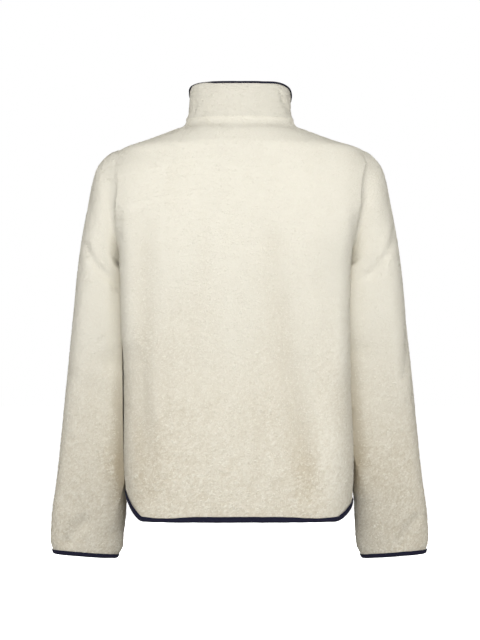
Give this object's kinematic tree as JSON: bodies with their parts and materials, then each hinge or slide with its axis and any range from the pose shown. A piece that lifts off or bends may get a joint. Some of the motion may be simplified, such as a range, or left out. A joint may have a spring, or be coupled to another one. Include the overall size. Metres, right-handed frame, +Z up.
{
  "type": "fleece zip-up jacket",
  "caption": "Cream pile-fleece jacket with a stand collar, long sleeves, navy bindings and a front zip, in its hollow worn shape.",
  "frame": {"origin": "between the shoulders on the centre plane, level with the neck seam at the back, where a wearer's shoulders and neck hold the jacket", "axes": "+Z up, the front faces -Y, the wearer's left is +X"},
  "size_m": [0.6586, 0.2782, 0.8231],
  "materials": {
    "cream_fleece": "curly pile, matt, with a soft sheen",
    "navy_binding": "smooth woven stretch strip, matt",
    "navy_tape": "fine woven tape, matt",
    "navy_teeth": "moulded, satin",
    "dark_metal": "dark plated, satin"
  },
  "bodies": {
    "jacket": {"back": "cream_fleece", "front_left": "cream_fleece", "front_right": "cream_fleece", "sleeve_left": "cream_fleece", "sleeve_right": "cream_fleece", "collar": "cream_fleece", "collar_binding": "navy_binding", "hem_binding": "navy_binding", "cuff_binding_left": "navy_binding", "cuff_binding_right": "navy_binding", "zip_tape_left": "navy_tape", "zip_tape_right": "navy_tape", "zip_teeth_left": "navy_teeth", "zip_teeth_right": "navy_teeth", "zip_slider": "dark_metal", "zip_box": "dark_metal"},
    "pull_tab": {"zip_pull": "dark_metal"}
  },
  "joints": [
    {"name": "pull_swing", "type": "hinge", "parent": "jacket", "child": "pull_tab", "pos_m": [0, -0.10203, -0.11735], "axis": [-1, 0, 0], "range_deg": [0, 150]}
  ]
}
